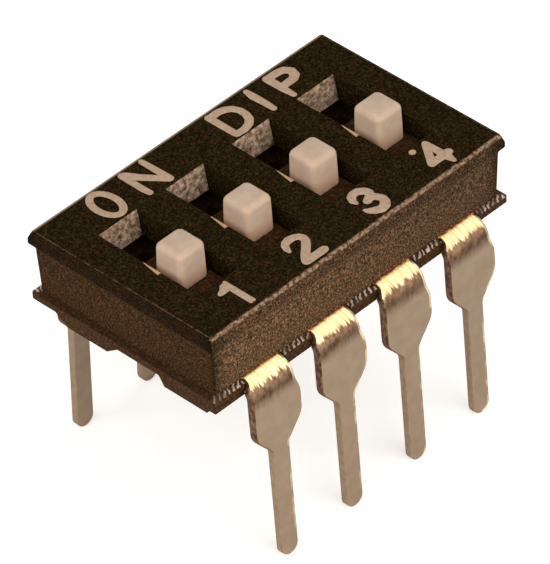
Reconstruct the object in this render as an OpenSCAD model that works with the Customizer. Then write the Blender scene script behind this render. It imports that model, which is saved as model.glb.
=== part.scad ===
// Four-position slide switch in a dual-in-line package.
// The origin is the middle of the lead pattern, on the plane of the lead tips.
// X runs along the body from position 1 to position 4, and +Y is the ON side.

/* [Lead pattern] */
// Distance between neighbouring positions
pitch = 2.54; // [2.4:0.01:3.1]
// Distance between the two rows of leads, at their necks
row_spacing = 7.62; // [7.2:0.01:10.2]

/* [Leads] */
// Thickness of the lead sheet
lead_t = 0.25; // [0.2:0.01:0.3]
// Width of the leg that enters the board
leg_w = 0.6; // [0.45:0.01:0.75]
// Length of the leg below its neck
leg_len = 3.72; // [2.5:0.01:5]
// Fillet between the leg and the shoulder
neck_r = 0.3; // [0.1:0.01:0.4]
// Width across the shoulders of the OFF row
shoulder_w = 1.76; // [1.4:0.01:2]
// Width of the blades of the ON row, which have no shoulders
shoulder_w_on = 1.3; // [1:0.01:1.6]
// Rounding of each shoulder
shoulder_r = 0.6; // [0.3:0.01:0.8]
// Height of the blade at its full width
blade_h = 0.64; // [0.3:0.01:1]
// Height over which the blade narrows to the strap, partly round the bend
taper_h = 0.58; // [0.3:0.01:1]
// Height from the shoulders to the bend
drop_h = 1.05; // [0.8:0.01:1.5]
// Outer radius of the right-angle bend
bend_r = 0.55; // [0.4:0.01:0.6]
// Outward lean of the blades and legs, in degrees
splay = 2; // [0:0.1:5]
// Width of the strap that enters the base
strap_w = 1.4; // [1.1:0.01:1.6]
// Width of the contact pad inside the base
pad_w = 1.1; // [0.9:0.01:1.3]

/* [Body] */
// Distance from the rim of the body to the centre plane of a lead row
rim_gap = 0.34; // [0.25:0.01:0.42]
// Body length beyond the outermost position cells, at each end
end_margin = 0.61; // [0.5:0.01:1]
// Rounding of the upright corners
corner_r = 0.08; // [0.04:0.01:0.28]

/* [Cover] */
// Height of the cover above the seam
cover_h = 2.1; // [1.9:0.01:2.6]
// Height of the overhanging lip
lip_h = 0.44; // [0.3:0.01:0.6]
// Bevel of the top face at the two ends
lip_slope_x = 0.07; // [0.04:0.01:0.15]
// Bevel of the top face at the two long sides
lip_slope_y = 0.1; // [0.04:0.01:0.15]
// Overhang of the lip past the end walls
overhang_x = 0.15; // [0.1:0.01:0.3]
// Overhang of the lip past the long walls
overhang_y = 0.13; // [0.1:0.01:0.3]
// Draft of the walls from the lip to the seam
wall_draft = 0.055; // [0.02:0.005:0.08]
// Thickness of the slotted top plate
top_t = 0.85; // [0.7:0.01:0.95]
// Thickness of the ribs between the slider chambers
rib_t = 0.3; // [0.2:0.01:0.4]
// Width of each slot
slot_w = 1.45; // [1.2:0.01:1.7]
// Length of each slot
slot_l = 3.74; // [3.5:0.01:4.2]
// Lean of the slot's ON end, per millimetre of depth
slot_rake = 0.18; // [0:0.01:0.25]

/* [Base] */
// Upright edge of the flange that the cover sits on
rim_edge = 0.2; // [0.1:0.01:0.22]
// Plastic left below the lead sheet in the flange
rim_under = 0.02; // [0.01:0.01:0.05]
// Depth of the block below the flange that holds the leads
keel_block_h = 0.23; // [0.1:0.01:0.5]
// Inset of that block from the flange, at the ends
block_inset_x = 1.25; // [0.5:0.01:1.28]
// Inset of that block from the flange, at the long sides
block_inset_y = 0.12; // [0.1:0.01:1]
// Depth of the feet below the flange
foot_h = 0.27; // [0.2:0.01:0.5]
// Length of a foot along the body
foot_l = 1.3; // [0.8:0.01:2]
// Height of the rails that carry the sliders
rail_h = 0.63; // [0.5:0.01:0.75]
// Width of the well between two rails
well_w = 1.7; // [1.55:0.01:1.8]

/* [Sliders] */
// Travel from OFF to ON
travel = 1; // [0.8:0.05:1.2]
// Width of the knob at its top
knob_w = 1; // [0.8:0.01:1.1]
// Height of the knob above the cover
knob_rise = 0.64; // [0.3:0.01:1.2]
// Taper of each side of the knob
knob_draft = 0.02; // [0:0.005:0.05]
// Rounding of the knob's edges
knob_r = 0.12; // [0.05:0.01:0.2]
// Width of the tenon that holds the knob in the carriage
tenon_w = 0.7; // [0.4:0.01:0.8]
// Depth of that tenon
tenon_h = 0.4; // [0.2:0.01:0.5]
// Depth of the carriage's top below the cover
ledge_drop = 0.53; // [0.35:0.01:0.7]
// Length of the carriage in the slot
carriage_l = 2.2; // [1.8:0.01:2.4]
// Length of the wings under the top plate
wing_l = 2.5; // [2.3:0.01:2.7]
// Depth of the keel below the wings
keel_h = 0.25; // [0.15:0.01:0.3]

/* [Contact springs] */
// Thickness of the spring strip
spring_t = 0.08; // [0.06:0.01:0.1]
// Width of the spring strip
spring_w = 1; // [0.8:0.01:1.1]
// Distance from the slider's middle to each contact nose
nose_y = 0.75; // [0.65:0.01:0.85]
// Bend radius of a contact nose, at mid thickness
nose_r = 0.14; // [0.1:0.01:0.2]
// Slit between the two fingers of each arm
slit_w = 0.2; // [0.1:0.01:0.3]

/* [Clearances] */
// Side clearance of the carriage in its slot
slot_gap = 0.075; // [0.05:0.005:0.12]
// Clearance of a slider at its end stops and in height
run_gap = 0.05; // [0.03:0.01:0.08]
// Clearance of the rails in the cover
fit_gap = 0.05; // [0.03:0.01:0.08]
// Gap between a contact nose and its pad
nose_gap = 0.04; // [0.03:0.01:0.06]

/* [Hidden] */
positions = 4;
rows = ["off", "on"];

$fn = 32;
eps = 0.01;
corner_steps = 5;

// Lead outline: the shoulder falls to the neck at this angle from upright
shoulder_turn = 40;
neck_x = leg_w / 2 + neck_r * (1 - cos(shoulder_turn));
blade_top = shoulder_level(shoulder_w) + drop_h;
taper_z = shoulder_level(shoulder_w) + blade_h;

// Centre of the bend, found from the leaning blade, whose lowest corner is at height 0
mid_r = bend_r - lead_t / 2;
lift = lead_t / 2 * sin(splay) + leg_len * cos(splay);
bend_y = row_spacing / 2 - (blade_top - leg_len) * sin(splay) - mid_r * cos(splay);
bend_z = lift + (blade_top - leg_len) * cos(splay) - mid_r * sin(splay);
pad_top = bend_z + bend_r;

// Body levels and outlines, as half sizes
rim_bottom = pad_top - lead_t - rim_under;
seam_z = pad_top;
top_z = seam_z + cover_h;
body_x = (positions * pitch) / 2 + end_margin;
body_y = row_spacing / 2 - rim_gap;
wall_x = body_x - overhang_x;
wall_y = body_y - overhang_y;
lip_face = 0.18;
cove_h = 0.2;
edge_bevel = 0.03;

// Slider levels
plate_z = top_z - top_t;
rail_z = seam_z + rail_h;
wing_bottom = rail_z + run_gap;
wing_top = plate_z - run_gap;
keel_bottom = wing_bottom - keel_h;
carriage_w = slot_w - 2 * slot_gap;
keel_w = well_w - 4 * run_gap;
knob_top = top_z + knob_rise;
ledge_z = top_z - ledge_drop;
wing_drop = 0.12;

// Chambers of the cover, and the rails that stand in them
chamber_w = pitch - rib_t;
rail_end = 0.6;
well_l = wing_l + travel + 2 * run_gap;
chamber_l = well_l + 2 * (rail_end + fit_gap);

// Lead anchors: the strap narrows to the pad inside the base wall
anchor_y = chamber_l / 2;
notch_gap = 0.05;

// Feet, each [outer end, inner end, ramp at the outer end, ramp at the inner end] along Y
feet = [[2.14, 0.62, 0.42, 0.42], [-3.12, -1.54, 0.28, 0.2]];

// Height of the shoulder arc's centre on a blade of width w
function shoulder_level(w) = leg_len + (neck_r + shoulder_r) * sin(shoulder_turn)
    + (w / 2 - shoulder_r * (1 - cos(shoulder_turn)) - neck_x) * tan(90 - shoulder_turn);

// Middle of position i along X
function at_x(i) = (i - (positions + 1) / 2) * pitch;

// Points of an arc from angle a to angle b about [x, y]
function arc(x, y, r, a, b, n = 6) =
    [for (k = [0:n]) let (t = a + (b - a) * k / n) [x + r * cos(t), y + r * sin(t)]];

// The same points reflected in the Y axis, in reverse order
function reflected(points) = [for (k = [len(points) - 1:-1:0]) [-points[k][0], points[k][1]]];

// One level of a lofted block: a rounded rectangle with its half sizes and radius
function ring(z, x, y, r) = [
    for (q = [0:3]) for (s = [0:corner_steps])
        let (a = 90 * (q + s / corner_steps),
             sx = (q == 0 || q == 3) ? 1 : -1,
             sy = (q < 2) ? 1 : -1)
        [sx * (x - r) + r * cos(a), sy * (y - r) + r * sin(a), z]
];

// Solid through a stack of levels, each [z, half length, half width, corner radius]
module loft(levels) {
    n = 4 * (corner_steps + 1);
    last = len(levels) - 1;
    points = [for (v = levels) each ring(v[0], v[1], v[2], v[3])];
    sides = [
        for (k = [0:last - 1]) for (i = [0:n - 1])
            let (j = (i + 1) % n)
            [k * n + i, (k + 1) * n + i, (k + 1) * n + j, k * n + j]
    ];
    bottom = [for (i = [0:n - 1]) i];
    top = [for (i = [n - 1:-1:0]) last * n + i];
    polyhedron(points, concat([bottom, top], sides), convexity = 4);
}

// Box centred on the Z axis between two heights
module block(x, y, z0, z1) {
    translate([-x / 2, -y / 2, z0]) cube([x, y, z1 - z0]);
}

// Extrudes an outline drawn in the YZ plane along X, centred
module along_x(width) {
    rotate([90, 0, 90]) linear_extrude(width, center = true) children();
}

// Outside of the cover: drafted walls that curve out to a lip, which slopes in to the top face
module cover_outside() {
    lip_bottom = top_z - lip_h;
    steps = 3;
    cove = [
        for (k = [0:steps])
            let (a = 90 * k / steps, out = 1 - cos(a))
            [lip_bottom - cove_h * (1 - sin(a)), wall_x + (overhang_x - edge_bevel) * out,
             wall_y + (overhang_y - edge_bevel) * out, corner_r]
    ];
    loft(concat([[seam_z, wall_x - wall_draft, wall_y - wall_draft, corner_r]], cove, [
        [lip_bottom + edge_bevel, body_x, body_y, corner_r],
        [lip_bottom + lip_face, body_x, body_y, corner_r],
        [top_z - edge_bevel, body_x - lip_slope_x, body_y - lip_slope_y, corner_r],
        [top_z, body_x - lip_slope_x - edge_bevel, body_y - lip_slope_y - edge_bevel, corner_r]
    ]));
}

// Opening for one knob, with its ON end leaning inwards
module slot_cut() {
    half = slot_l / 2;
    lean = slot_rake * (top_t + eps);
    along_x(slot_w) polygon([
        [-half, plate_z - eps],
        [half - lean, plate_z - eps],
        [half + slot_rake * eps, top_z + eps],
        [-half, top_z + eps]
    ]);
}

module cover() {
    color("#1d1916") difference() {
        cover_outside();
        for (i = [1:positions]) translate([at_x(i), 0, 0]) {
            slot_cut();
            block(chamber_w, chamber_l, seam_z - eps, plate_z);
        }
    }
}

// Flange of the base, as thick as the lead sheet, with a top that falls a little outwards
module rim() {
    loft([
        [rim_bottom, body_x - edge_bevel, body_y - edge_bevel, corner_r],
        [rim_bottom + edge_bevel, body_x, body_y, corner_r],
        [rim_bottom + edge_bevel + rim_edge, body_x, body_y, corner_r],
        [seam_z, wall_x - wall_draft, wall_y - wall_draft, corner_r]
    ]);
}

// One foot, flush with the flange at the +X end, seen as an outline in the YZ plane
module foot(f) {
    side = sign(f[0]);
    low = rim_bottom - foot_h;
    high = rim_bottom + edge_bevel;
    translate([body_x - foot_l / 2, 0, 0]) along_x(foot_l) polygon([
        [f[0] + side * f[2], high],
        [f[0], low],
        [f[1], low],
        [f[1] - side * f[3], high]
    ]);
}

// Everything that the lead sheets occupy inside the base
module lead_seats() {
    for (i = [1:positions]) translate([at_x(i), 0, 0]) {
        strap_and_pad(pad_end_off);
        mirror([0, 1, 0]) strap_and_pad(pad_end_on);
    }
}

// Grooves through the flange where the straps leave the base
module rim_notches() {
    depth = body_y - wall_y + wall_draft;
    for (i = [1:positions], side = [-1, 1])
        translate([at_x(i), side * (body_y - depth / 2 + eps / 2), 0])
            block(strap_w + 2 * notch_gap, depth + eps, rim_bottom - eps, seam_z + eps);
}

module base() {
    color("#211b17") difference() {
        union() {
            rim();
            block(2 * (body_x - block_inset_x), 2 * (body_y - block_inset_y),
                  rim_bottom - keel_block_h, rim_bottom + edge_bevel);
            for (end = [0, 1]) mirror([end, 0, 0]) for (f = feet) foot(f);
            for (i = [1:positions]) translate([at_x(i), 0, 0])
                block(chamber_w - 2 * fit_gap, chamber_l - 2 * fit_gap, seam_z - eps, rail_z);
        }
        for (i = [1:positions]) translate([at_x(i), 0, 0])
            block(well_w, well_l, pad_top, rail_z + eps);
        lead_seats();
        rim_notches();
    }
}

// Pad ends: the OFF-side pad is always touched, the ON-side pad only at ON
pad_margin = 0.2;
pad_end_off = travel / 2 - nose_y + pad_margin;
pad_end_on = -nose_y;

// Level part of a lead on the -Y side, from its bend to its pad's end
module strap_and_pad(pad_end) {
    translate([-strap_w / 2, -bend_y, pad_top - lead_t])
        cube([strap_w, bend_y - anchor_y, lead_t]);
    translate([-pad_w / 2, -anchor_y - eps, pad_top - lead_t])
        cube([pad_w, anchor_y + eps + pad_end, lead_t]);
}

// Side outline of the bend and the leaning blade, in the YZ plane
function drop_profile() =
    let (steps = 12,
         down = blade_top * [-sin(splay), -cos(splay)],
         outer = arc(-bend_y, bend_z, bend_r, 90, 180 - splay, steps),
         inner = arc(-bend_y, bend_z, bend_r - lead_t, 180 - splay, 90, steps))
    concat(outer, [outer[steps] + down, inner[0] + down], inner);

// Front outline of a lead of blade width w: strap, shoulders, neck, leg and round tip
module front_outline(w) {
    half = concat(
        arc(0, leg_w / 2, leg_w / 2, -90, 0),
        arc(leg_w / 2 + neck_r, leg_len, neck_r, 180, 180 - shoulder_turn, 4),
        arc(w / 2 - shoulder_r, shoulder_level(w), shoulder_r, -shoulder_turn, 0),
        [[w / 2, taper_z], [strap_w / 2, taper_z + taper_h], [strap_w / 2, blade_top + 2 * bend_r]]
    );
    polygon(concat(half, reflected(half)));
}

// Bend and blade: the side outline, cut to the front outline
module drop(w) {
    intersection() {
        along_x(shoulder_w + 1) polygon(drop_profile());
        translate([0, -row_spacing / 2, lift]) rotate([90 - splay, 0, 0])
            translate([0, -leg_len, 0]) linear_extrude(4 * bend_r, center = true) front_outline(w);
    }
}

// Lead on the -Y side at position 1's middle, moved or mirrored to its place
module lead(pad_end, w) {
    strap_and_pad(pad_end);
    drop(w);
}

module terminal(row, i) {
    color("#b5a48e") translate([at_x(i), 0, 0]) {
        if (row == "off") lead(pad_end_off, shoulder_w);
        if (row == "on") mirror([0, 1, 0]) lead(pad_end_on, shoulder_w_on);
    }
}

// Tenon of the knob, and the socket for it in the carriage, up to a height
module tenon(top) {
    block(tenon_w, tenon_w, ledge_z - tenon_h, top);
}

// Knob with drafted sides and a rounded top
module knob() {
    half = knob_w / 2;
    foot = half + knob_draft;
    steps = 4;
    round_top = [
        for (k = [0:steps])
            let (a = 90 * k / steps, in = knob_r * (1 - cos(a)))
            [knob_top - knob_r + knob_r * sin(a), half - in, half - in, knob_r]
    ];
    loft(concat([[ledge_z, foot, foot, knob_r]], round_top));
}

module slider(i) {
    color("#d8c6ae") translate([at_x(i), -travel / 2, 0]) {
        knob();
        tenon(ledge_z + eps);
    }
}

// Carriage at mid travel: a ledge in the slot, wings under the plate, a keel in the well
module carriage_body() {
    peg_r = 0.15;
    peg_h = spring_t + 0.04;
    difference() {
        union() {
            block(carriage_w, carriage_l, wing_top - eps, ledge_z);
            block(chamber_w - 2 * wing_drop, wing_l, wing_bottom, wing_top);
            block(keel_w, wing_l, keel_bottom, wing_bottom + eps);
            translate([0, 0, keel_bottom - peg_h]) cylinder(h = peg_h + eps, r = peg_r);
        }
        tenon(ledge_z + eps);
    }
}

module carriage(i) {
    color("#3a2a1e") translate([at_x(i), -travel / 2, 0]) carriage_body();
}

// Offset of a path's point k to its left by d, mitred between its two segments
function left_of(path, k, d) =
    let (a = path[max(k - 1, 0)], b = path[min(k + 1, len(path) - 1)],
         u = (path[k] - a) / max(norm(path[k] - a), eps * eps),
         v = (b - path[k]) / max(norm(b - path[k]), eps * eps),
         s = u + v, m = [-s[1], s[0]] / norm(s), c = (norm(u) > 0 && norm(v) > 0) ? norm(s) / 2 : 1)
    path[k] + m * d / c;

// Closed outline of a strip of thickness t along a path
function strip(path, t) = concat(
    [for (k = [0:len(path) - 1]) left_of(path, k, t / 2)],
    [for (k = [len(path) - 1:-1:0]) left_of(path, k, -t / 2)]
);

// Bridging spring: staked flat under the keel, with two arms that end in rounded noses
module contact_spring(i) {
    flat_z = keel_bottom - spring_t / 2;
    nose_z = pad_top + nose_gap + spring_t / 2 + nose_r;
    tail = 0.2;
    down = 40;
    up = 35;
    flat_y = 0.34;
    nose = arc(nose_y, nose_z, nose_r, 270 - down, 270 + up);
    tip = nose[len(nose) - 1] + tail * [cos(up), sin(up)];
    arm = concat([[flat_y, flat_z]], nose, [tip]);
    hole_r = 0.18;
    color("#c9a45c") translate([at_x(i), -travel / 2, 0]) difference() {
        along_x(spring_w) polygon(strip(concat(reflected(arm), arm), spring_t));
        for (side = [-1, 1]) translate([0, side * (flat_y + nose_y), 0])
            block(slit_w, 2 * nose_y, pad_top, keel_bottom + eps);
        translate([0, 0, pad_top]) cylinder(h = keel_bottom - pad_top + eps, r = hole_r);
    }
}

cover();
base();
for (i = [1:positions]) {
    slider(i);
    carriage(i);
    contact_spring(i);
    terminal("off", i);
    terminal("on", i);
}
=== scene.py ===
"""Looks of a four-position slide switch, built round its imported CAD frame.

Lengths in this file are in millimetres unless a name says otherwise; MM turns them into metres.
"""
import math

import bmesh
import bpy
from mathutils import Matrix, Vector


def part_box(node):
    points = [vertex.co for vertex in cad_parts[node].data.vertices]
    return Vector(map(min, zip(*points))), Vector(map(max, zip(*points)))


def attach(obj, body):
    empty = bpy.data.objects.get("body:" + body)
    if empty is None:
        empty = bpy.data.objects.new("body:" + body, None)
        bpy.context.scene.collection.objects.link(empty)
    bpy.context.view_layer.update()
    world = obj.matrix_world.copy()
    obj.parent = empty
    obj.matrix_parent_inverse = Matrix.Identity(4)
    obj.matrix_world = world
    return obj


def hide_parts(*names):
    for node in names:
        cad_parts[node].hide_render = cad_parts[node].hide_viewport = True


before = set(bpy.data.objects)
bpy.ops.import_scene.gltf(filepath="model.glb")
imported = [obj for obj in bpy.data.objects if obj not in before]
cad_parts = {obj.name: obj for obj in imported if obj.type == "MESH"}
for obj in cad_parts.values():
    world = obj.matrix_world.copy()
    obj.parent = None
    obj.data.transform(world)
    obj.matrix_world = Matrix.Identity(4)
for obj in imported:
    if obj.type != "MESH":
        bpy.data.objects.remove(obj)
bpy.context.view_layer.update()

MM = 0.001
POSITIONS = (1, 2, 3, 4)
HOUSING = "housing"

# Sizes that repeat the CAD model's values
LEG_W, LEG_LEN, NECK_R = 0.6, 3.72, 0.3
SHOULDER_W, SHOULDER_W_ON, SHOULDER_R, SHOULDER_TURN = 1.76, 1.3, 0.6, 40
DROP_H, ROW_SPACING, SPLAY = 1.05, 7.62, 2
STRAP_W, PAD_W, BEND_R, LEAD_T = 1.4, 1.1, 0.55, 0.25
SLOT_W, SLOT_L, TOP_T = 1.45, 3.74, 0.85
LIP_H, RIM_UNDER = 0.44, 0.02
KNOB_W, KNOB_DRAFT, TENON_W, TENON_H = 1.0, 0.02, 0.7, 0.4


def box_mm(node):
    """Lowest and highest corner of a CAD node, in millimetres."""
    low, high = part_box(node)
    return low / MM, high / MM


COVER_LOW, COVER_HIGH = box_mm("cover")
BASE_LOW, BASE_HIGH = box_mm("base")
TOP_Z = COVER_HIGH.z
SEAM_Z = COVER_LOW.z
RIM_BOTTOM = SEAM_Z - LEAD_T - RIM_UNDER


def slider_x(i):
    """Middle of position i along the body."""
    low, high = box_mm(f"slider_{i}")
    return (low.x + high.x) / 2


PITCH = slider_x(2) - slider_x(1)

# ---------------------------------------------------------------- camera

CAMERA_AZ, CAMERA_EL, CAMERA_ROLL = -43.822, 40.422, 3.335
CAMERA_DISTANCE = 175.0
CAMERA_AIM = Vector((0, 0, 6.0))
CAMERA_SHIFT_RIGHT, CAMERA_SHIFT_DOWN = 0.0988, 0.832
FOCAL_PIXELS = 6467.0
FRAME_HEIGHT = 564
SENSOR = 36.0
CLIP_METRES = 0.01, 10


def make_camera():
    """Long-lens camera at the reference view."""
    a, e, roll = (math.radians(v) for v in (CAMERA_AZ, CAMERA_EL, CAMERA_ROLL))
    back = Vector((math.sin(a) * math.cos(e), -math.cos(a) * math.cos(e), math.sin(e)))
    level_right = (-back).cross(Vector((0, 0, 1))).normalized()
    level_down = (-back).cross(level_right)
    right = math.cos(roll) * level_right + math.sin(roll) * level_down
    down = -math.sin(roll) * level_right + math.cos(roll) * level_down
    aim = CAMERA_AIM + CAMERA_SHIFT_RIGHT * right + CAMERA_SHIFT_DOWN * down
    place = (aim + CAMERA_DISTANCE * back) * MM
    data = bpy.data.cameras.new("camera")
    data.sensor_width = SENSOR
    data.lens = FOCAL_PIXELS * SENSOR / FRAME_HEIGHT
    data.clip_start, data.clip_end = CLIP_METRES
    camera = bpy.data.objects.new("camera", data)
    turn = Matrix((right, -down, back)).transposed().to_4x4()
    camera.matrix_world = Matrix.Translation(place) @ turn
    bpy.context.scene.collection.objects.link(camera)
    bpy.context.scene.camera = camera


make_camera()
bpy.context.scene.view_settings.view_transform = "Standard"

# ---------------------------------------------------------------- shader helpers


class Shader:
    """A material under construction, with its texture coordinates in millimetres."""

    def __init__(self, name, **constants):
        self.material = bpy.data.materials.new(name)
        self.material.use_nodes = True
        self.tree = self.material.node_tree
        self.tree.nodes.clear()
        self.out = self.add("ShaderNodeOutputMaterial")
        self.bsdf = self.add("ShaderNodeBsdfPrincipled")
        self.link(self.bsdf, "BSDF", self.out, "Surface")
        for socket, value in constants.items():
            self.bsdf.inputs[socket.replace("_", " ")].default_value = value

    def add(self, kind, **settings):
        """New node; settings are its properties."""
        node = self.tree.nodes.new(kind)
        for name, value in settings.items():
            setattr(node, name, value)
        return node

    def link(self, a, output, b, socket):
        """Joins an output of node a to a socket of node b."""
        self.tree.links.new(a.outputs[output], b.inputs[socket])

    def coordinates(self, scale=(1, 1, 1), rotation=(0, 0, 0)):
        """Object coordinates in millimetres, times scale."""
        source = self.add("ShaderNodeTexCoord")
        mapping = self.add("ShaderNodeMapping")
        mapping.inputs["Scale"].default_value = [s / MM for s in scale]
        mapping.inputs["Rotation"].default_value = rotation
        self.link(source, "Object", mapping, "Vector")
        return mapping

    def noise(self, size, detail=3.0, rough=0.5, scale=(1, 1, 1)):
        """Noise whose features are about size millimetres."""
        node = self.add("ShaderNodeTexNoise")
        node.inputs["Scale"].default_value = 1 / size
        node.inputs["Detail"].default_value = detail
        node.inputs["Roughness"].default_value = rough
        self.link(self.coordinates(scale), "Vector", node, "Vector")
        return node

    def ramp(self, source, output, stops):
        """Colour ramp through stops of (position, colour)."""
        node = self.add("ShaderNodeValToRGB")
        elements = node.color_ramp.elements
        while len(elements) < len(stops):
            elements.new(0.5)
        for element, (position, colour) in zip(elements, stops):
            element.position = position
            element.color = (*colour, 1)
        self.link(source, output, node, "Fac")
        return node

    def levels(self, source, output, low, high, to_low=0.0, to_high=1.0):
        """Values from low to high, stretched to the new ends and clamped."""
        node = self.add("ShaderNodeMapRange")
        for socket, value in (("From Min", low), ("From Max", high),
                              ("To Min", to_low), ("To Max", to_high)):
            node.inputs[socket].default_value = value
        self.link(source, output, node, "Value")
        return node

    def mix(self, factor, a, b, blend="MIX"):
        """Colour mix; a and b are (node, output) pairs or colours, factor the same or a number."""
        node = self.add("ShaderNodeMix", data_type="RGBA", blend_type=blend)
        for value, socket in ((factor, 0), (a, 6), (b, 7)):
            if isinstance(value, tuple) and hasattr(value[0], "outputs"):
                self.tree.links.new(value[0].outputs[value[1]], node.inputs[socket])
            elif isinstance(value, (int, float)):
                node.inputs[socket].default_value = value
            else:
                node.inputs[socket].default_value = (*value, 1)
        return node

    def colour(self, node, output="Color"):
        """Sets what gives the base colour."""
        self.link(node, output, self.bsdf, "Base Color")

    def colour_so_far(self):
        """What gives the base colour, as a (node, output) pair."""
        socket = self.bsdf.inputs["Base Color"].links[0].from_socket
        return socket.node, socket.name

    def place(self):
        """Position in millimetres, as separate X, Y and Z."""
        split = self.add("ShaderNodeSeparateXYZ")
        self.link(self.coordinates(), "Vector", split, "Vector")
        return split

    def shading(self, axis, start, end, factor):
        """Painted shade: grey that goes from 1 to factor along an axis; "-X" counts from the middle
        both ways.
        """
        value = (self.place(), axis[-1])
        if axis.startswith("-"):
            value = self.distance(value, 0.0)
        along = self.levels(*value, start, end)
        return self.ramp(along, "Result", [(0.0, (1, 1, 1)), (1.0, (factor, factor, factor))])

    def maths(self, operation, a, b=0.0):
        """Maths node; a and b are (node, output) pairs or numbers."""
        node = self.add("ShaderNodeMath", operation=operation)
        for socket, value in enumerate((a, b)):
            if isinstance(value, tuple):
                self.tree.links.new(value[0].outputs[value[1]], node.inputs[socket])
            else:
                node.inputs[socket].default_value = value
        return node

    def distance(self, value, centre):
        """How far a (node, output) pair's value is from a number, as a pair."""
        shifted = self.maths("SUBTRACT", value, centre)
        return self.maths("ABSOLUTE", (shifted, "Value")), "Value"

    def lean_normal(self, place, share, lean):
        """Leans the shading normal outwards, away from the body's middle, by a share."""
        sign = self.maths("SIGN", (place, "Y"))
        push = self.maths("MULTIPLY", (sign, "Value"), lean)
        push = self.maths("MULTIPLY", (push, "Value"), share)
        vector = self.add("ShaderNodeCombineXYZ")
        self.link(push, "Value", vector, "Y")
        total = self.add("ShaderNodeVectorMath", operation="ADD")
        self.link(self.add("ShaderNodeNewGeometry"), "Normal", total, 0)
        self.link(vector, "Vector", total, 1)
        unit = self.add("ShaderNodeVectorMath", operation="NORMALIZE")
        self.link(total, "Vector", unit, 0)
        self.link(unit, "Vector", self.bsdf, "Normal")

    def bump(self, source, output, height, strength=1.0):
        """Bump of the given height in millimetres; bumps chain."""
        node = self.add("ShaderNodeBump")
        node.inputs["Strength"].default_value = strength
        node.inputs["Distance"].default_value = height * MM
        self.link(source, output, node, "Height")
        previous = self.bsdf.inputs["Normal"].links
        if previous:
            self.tree.links.new(previous[0].from_socket, node.inputs["Normal"])
        self.link(node, "Normal", self.bsdf, "Normal")
        return node


def rgb(red, green, blue):
    """Linear colour from the 0 to 255 values that a screen shows."""
    def linear(v):
        v /= 255
        return v / 12.92 if v <= 0.04045 else ((v + 0.055) / 1.055) ** 2.4
    return tuple(linear(v) for v in (red, green, blue))


# ---------------------------------------------------------------- materials

# Lean of the shading normal over a lead's painted highlight, which turns its reflection to the sky
HIGHLIGHT_LEAN = 0.6
# Painted highlight bands of the top face along its edges, each as its inset from the lip and the
# width of its fade
SIDE_HIGHLIGHT, END_HIGHLIGHT, FAR_HIGHLIGHT = (0.19, 0.04), (0.16, 0.04), (0.2, 0.03)
# Painted highlight band at the top of the long wall
WALL_HIGHLIGHT_H, WALL_HIGHLIGHT_FADE = 0.1, 0.03
# Pale sliver on each slot's -X rim, partly wear and partly painted light bounced from the knob: its
# middle and half length in Y, and its least and most width
SLIVER_Y, SLIVER_HALF, SLIVER_FADE = -0.17, 0.31, 0.06
SLIVER_WIDTHS = 0.035, 0.13
# Heights of a painted warm glow of bounced light on a knob's foot, from the cover's top
FOOT_GLOW = -0.4, 0.1
# Bend of a lead, from the bend's centre: painted dark reflection band below, painted highlight
# above, and their wander
DARK_REFLECTION_BAND, HIGHLIGHT_BAND, BAND_WANDER = (-0.3, 0.05), (0.35, 0.42), 0.06
# Painted orange glow where a lead enters the base, as insets from the base's side
GLOW_LINE = 0.17, 0.09
# Heights over which a lead's cut edge turns from smooth to torn, from the neck
TORN_EDGE = -0.1, 0.5
TICK_TURN, TICK_BUMP = 35, 0.02


def moulded_plastic(name, dark, light, grain, bump, roughness, specular, patches=None, painted_shades=()):
    """Moulded plastic with a fine grain between two colours, and larger tinted patches.

    Each painted shade is (axis, from, to, factor): along that axis, counted outwards from the
    middle where its name starts with a minus sign, the colour darkens to the factor.
    """
    s = Shader(name, Roughness=roughness, Specular_IOR_Level=specular)
    fine = s.noise(grain, detail=3, rough=0.65)
    middle = tuple(0.7 * a + 0.3 * b for a, b in zip(dark, light))
    tone = (s.ramp(fine, "Fac", [(0.36, dark), (0.52, middle), (0.66, light)]), "Color")
    if patches:
        cloud = s.noise(0.16, detail=2, rough=0.6)
        tint = s.ramp(cloud, "Fac", [(0.38, patches[0]), (0.5, (1, 1, 1)), (0.62, patches[1])])
        tone = (s.mix(1.0, tone, (tint, "Color"), "MULTIPLY"), "Result")
    # Painted shade, multiplied into the colour
    for painted_shade in painted_shades:
        tone = (s.mix(1.0, tone, (s.shading(*painted_shade), "Color"), "MULTIPLY"), "Result")
    s.colour(*tone)
    s.bump(fine, "Fac", bump)
    return s


def wall_material(name, dark, light, painted_shades):
    """Side wall of the cover: brown, with a fine spark-eroded texture and painted shade."""
    return moulded_plastic(name, dark, light, 0.055, 0.01, 0.8, 0.04,
                           ((0.84, 0.94, 0.84), (1.2, 1.06, 1.0)), painted_shades)


def edge_highlight(s):
    """Pale colour of a painted highlight along an edge, broken by the texture."""
    broken = s.noise(0.12, detail=3, rough=0.7)
    return s.ramp(broken, "Fac", [(0.42, rgb(76, 52, 34)), (0.58, rgb(158, 128, 104))])


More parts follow.
